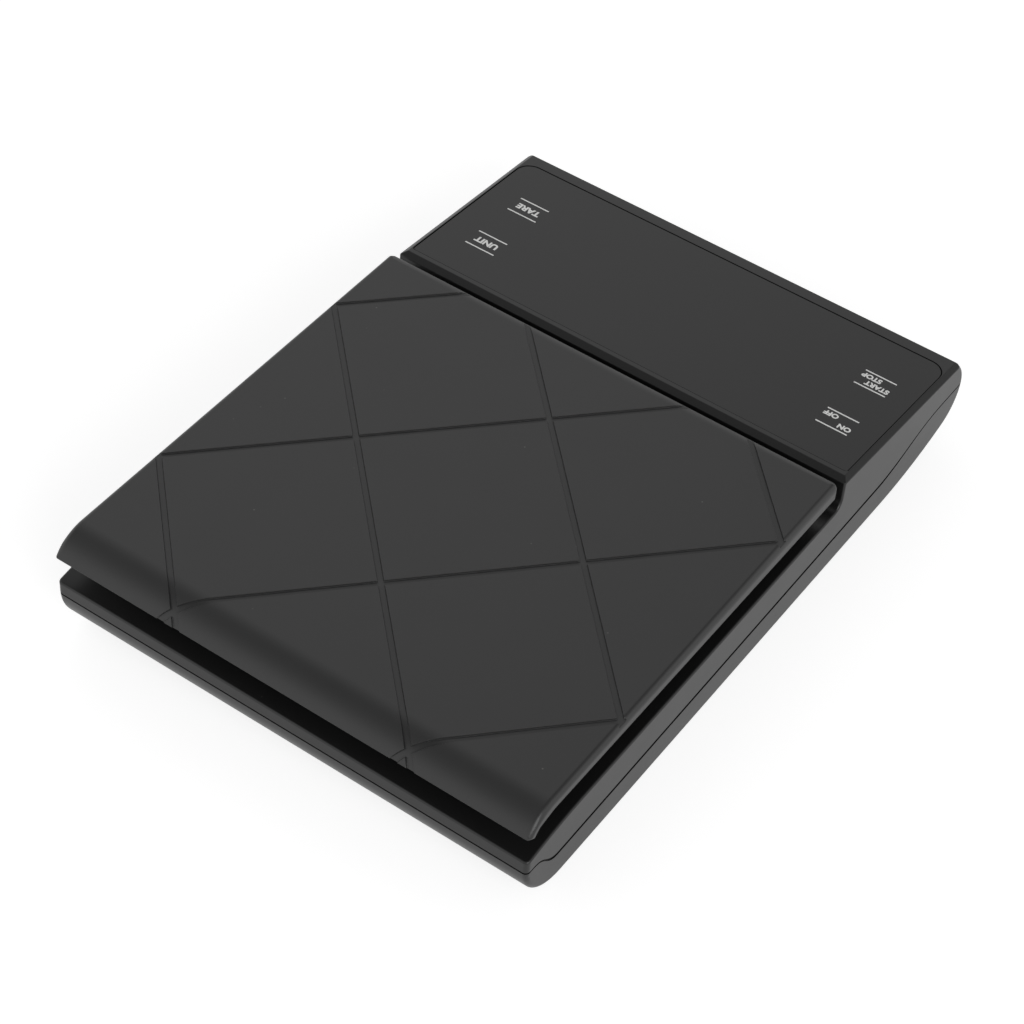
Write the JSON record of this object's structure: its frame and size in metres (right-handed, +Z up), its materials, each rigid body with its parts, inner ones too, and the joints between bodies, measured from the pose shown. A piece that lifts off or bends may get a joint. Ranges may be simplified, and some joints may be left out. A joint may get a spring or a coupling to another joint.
{
  "type": "digital gram scale",
  "caption": "Low table scale with a flat lift-off weighing platform with crossed grooves and a sloping touch display at the front, on a bending-beam load cell.",
  "frame": {"origin": "on the table, under the middle of the scale's outline", "axes": "+Z up, +Y to the rear, away from the person using it, +X to that person's right"},
  "size_m": [0.13, 0.19, 0.0315],
  "materials": {
    "casing_plastic": "fine satin",
    "platform_plastic": "fine satin",
    "window_film": "smooth satin film with white key labels",
    "tape": "double-sided tape",
    "circuit_board": "solder-masked board",
    "steel": "zinc-plated",
    "spring_steel": "bright wire",
    "aluminium": "milled",
    "light_frame": "white moulding",
    "diffuser": "milky sheet",
    "chip_resin": "moulded resin",
    "socket_plastic": "natural nylon",
    "silicone": "white silicone",
    "rubber": "moulded rubber",
    "carrier_plastic": "moulded",
    "cell_sleeve": "printed sleeve",
    "contact_metal": "nickel-plated",
    "lead_jacket": "grey jacket"
  },
  "bodies": {
    "base": {"upper_casing": "casing_plastic", "lower_casing": "casing_plastic", "display_window": "window_film", "window_tape": "tape", "main_board": "circuit_board", "board_screws": "steel", "display_module": "light_frame", "display_diffuser": "diffuser", "key_springs": "spring_steel", "board_chips": "chip_resin", "buzzer": "chip_resin", "lead_sockets": "socket_plastic", "load_cell": "aluminium", "gauge_covers": "silicone", "load_cell_spacer": "steel", "load_cell_screws": "steel", "overload_stop": "steel", "battery_cells": "cell_sleeve", "battery_contacts": "contact_metal", "battery_springs": "spring_steel", "casing_screws": "steel", "rubber_feet": "rubber", "load_cell_lead": "lead_jacket", "battery_lead": "lead_jacket"},
    "weighing": {"load_cell_free_end": "aluminium", "carrier_spacer": "steel", "carrier_screws": "steel", "platform_carrier": "carrier_plastic", "platform_pads": "rubber"},
    "platform": {"weighing_platform": "platform_plastic"},
    "door": {"battery_door": "casing_plastic"}
  },
  "joints": [
    {"name": "weighing_deflection", "type": "slide", "parent": "base", "child": "weighing", "axis": [0, 0, 1], "range_m": [-0.0004, 0], "stiffness_N_per_m": 60000},
    {"name": "platform_lift_off", "type": "slide", "parent": "weighing", "child": "platform", "axis": [0, 0, 1], "range_m": [0, 0.06]},
    {"name": "battery_door_hinge", "type": "hinge", "parent": "base", "child": "door", "pos_m": [0, -0.02875, 0.001], "axis": [-1, 0, 0], "range_deg": [0, 80]}
  ]
}
